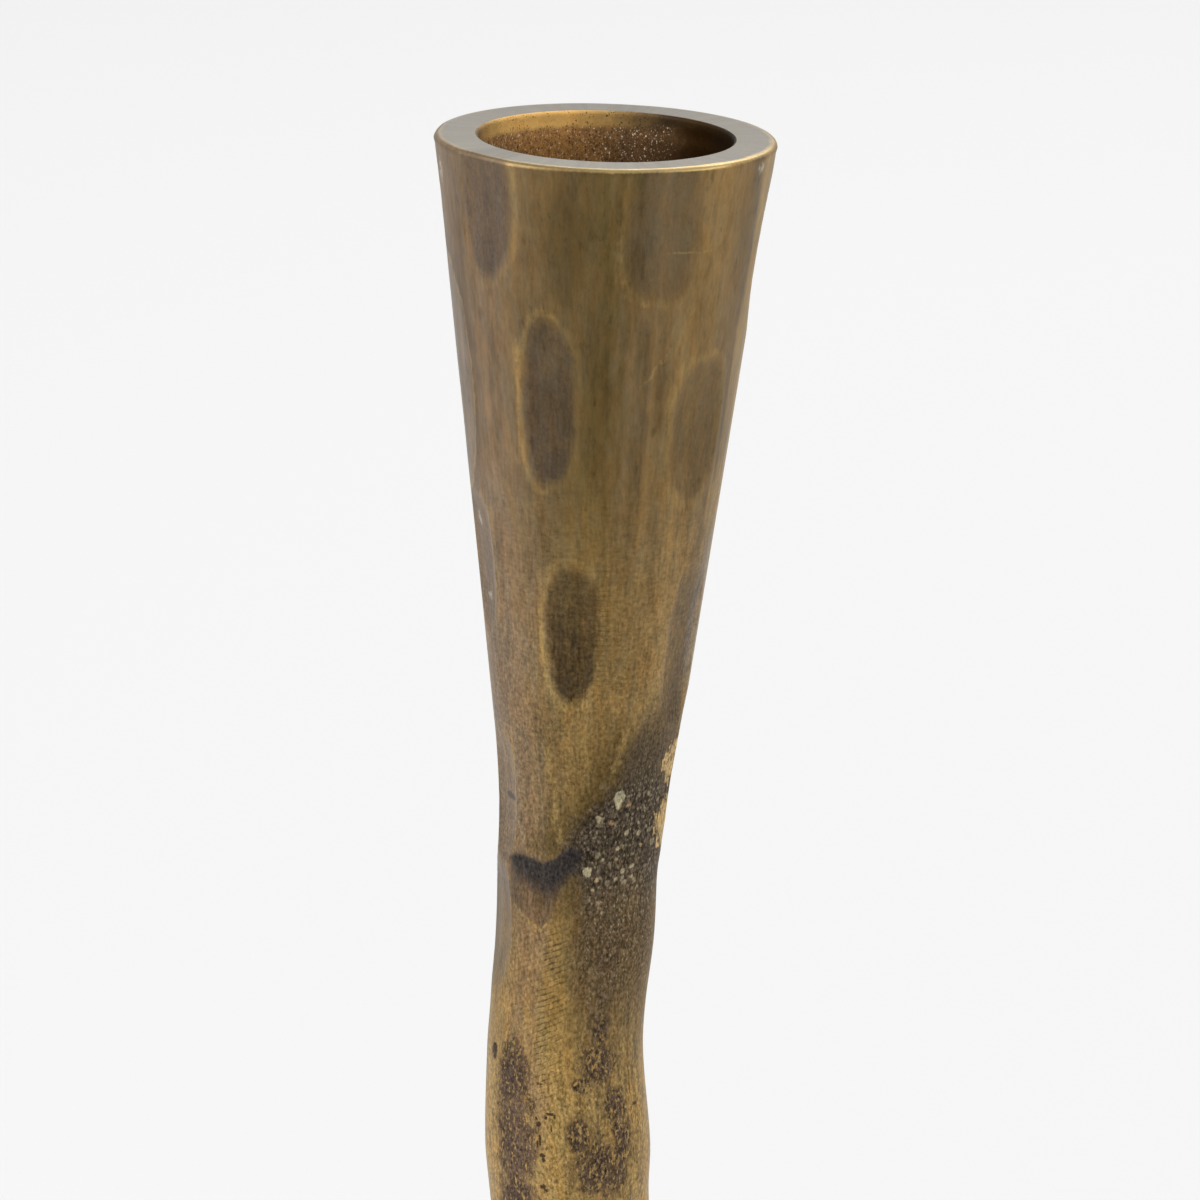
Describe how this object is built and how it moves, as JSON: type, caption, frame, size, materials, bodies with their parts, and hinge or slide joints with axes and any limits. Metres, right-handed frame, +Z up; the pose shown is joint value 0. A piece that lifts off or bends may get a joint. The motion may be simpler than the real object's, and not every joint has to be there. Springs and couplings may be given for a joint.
{
  "type": "altar candlestick",
  "caption": "Hammered brass altar candlestick with a tapered candle cup brazed to a wavy forged stem on a domed, felted foot.",
  "frame": {"origin": "centre of the felt's underside, on the table", "axes": "+Z up along the stem, -Y is the front, and the cup leans a little towards +X"},
  "size_m": [0.104, 0.104, 0.3004],
  "materials": {
    "cup_brass": "hammered, brushed and patinated",
    "stem_brass": "forged, filed and patinated",
    "foot_brass": "hammered and patinated",
    "braze": "scorched braze with flux specks",
    "fixings": "zinc-plated",
    "felt": "pressed felt"
  },
  "bodies": {
    "root": {"candle_cup": "cup_brass", "cup_seam": "braze", "cup_stud": "fixings", "stem": "stem_brass", "foot_seam": "foot_brass", "foot": "foot_brass", "foot_screw": "fixings", "spring_washer": "fixings", "plain_washer": "fixings", "felt_pad": "felt"}
  },
  "joints": []
}
